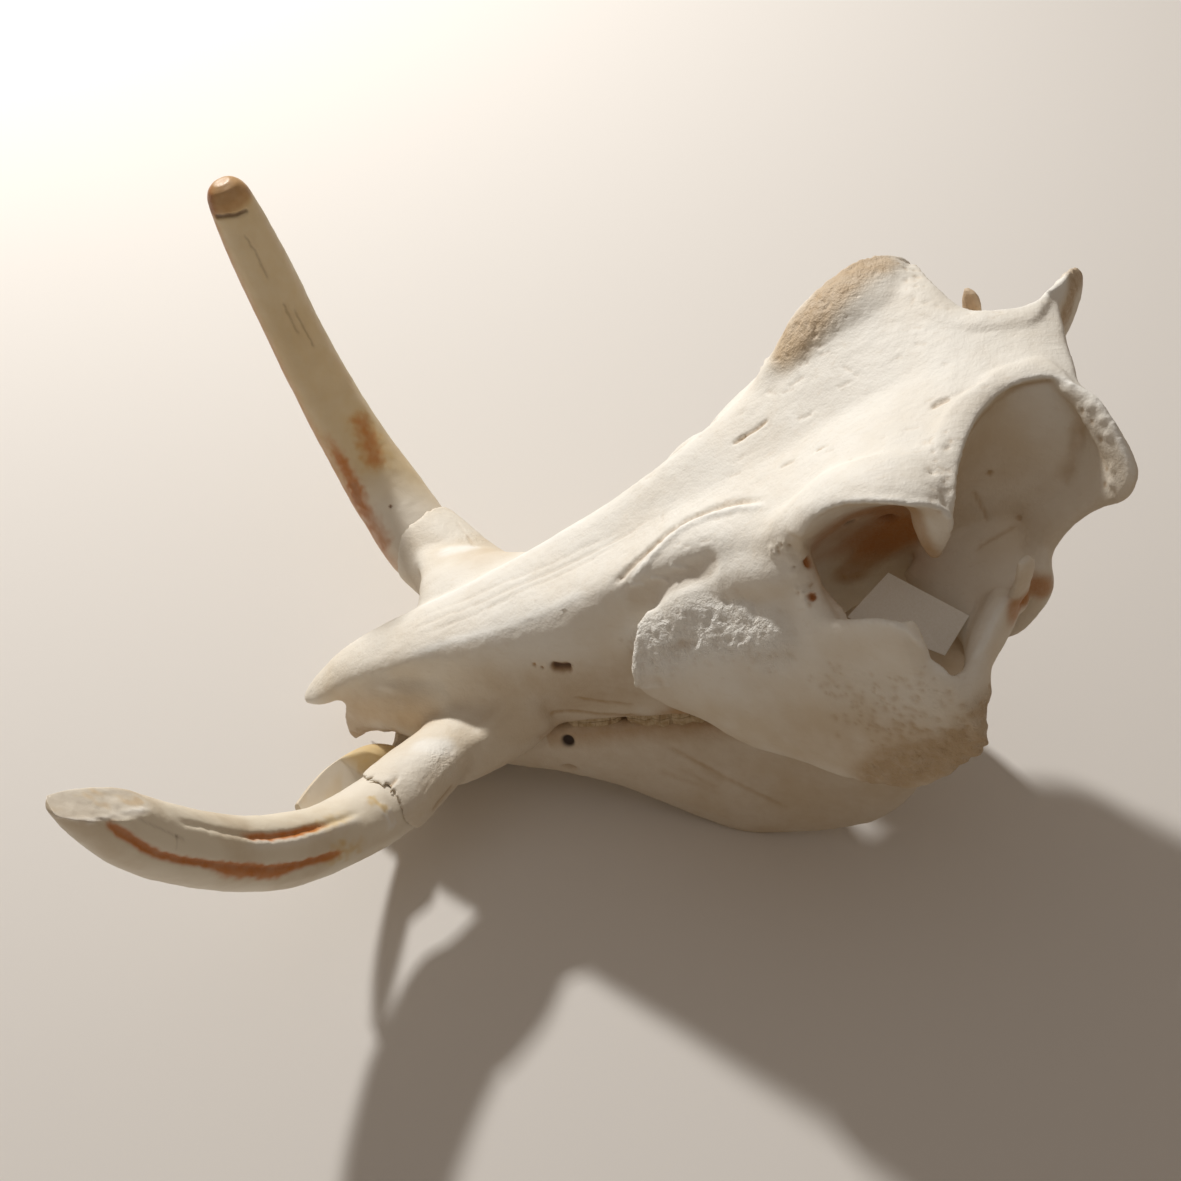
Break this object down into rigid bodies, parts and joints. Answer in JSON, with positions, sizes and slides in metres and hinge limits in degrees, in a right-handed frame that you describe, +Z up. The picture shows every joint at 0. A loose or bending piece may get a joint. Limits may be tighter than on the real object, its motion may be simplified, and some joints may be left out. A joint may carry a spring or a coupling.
{
  "type": "warthog skull",
  "caption": "Bleached skull of an adult warthog resting on its lower jaw, with long curved upper tusks, wide cheek arches and a blank card behind one arch.",
  "frame": {"origin": "at the middle of the small worn flat under the chin: on the resting plane (z = 0) and in the skull's mid plane (x = 0)", "axes": "+X to the animal's left, +Y from the snout to the nape, +Z up. The snout points to -Y. The skull stands as it does on a table, nose down by 15.7 degrees against its palate."},
  "size_m": [0.38, 0.4123, 0.2665],
  "materials": {
    "bone": "matt, slightly chalky, with fine pores and faint lengthwise streaks",
    "ivory": "satin, cream to brown, with orange stains in lengthwise grooves",
    "enamel": "satin, worn and stained at the seam",
    "card": "matt"
  },
  "bodies": {
    "root": {"cranium": "bone", "mandible": "bone", "upper_tusk_left": "ivory", "upper_tusk_right": "ivory", "lower_tusk_left": "ivory", "lower_tusk_right": "ivory", "upper_premolar_left": "enamel", "upper_premolar_right": "enamel", "lower_premolar_left": "enamel", "lower_premolar_right": "enamel", "upper_molar_left": "enamel", "upper_molar_right": "enamel", "lower_molar_left": "enamel", "lower_molar_right": "enamel", "specimen_card": "card"}
  },
  "joints": []
}
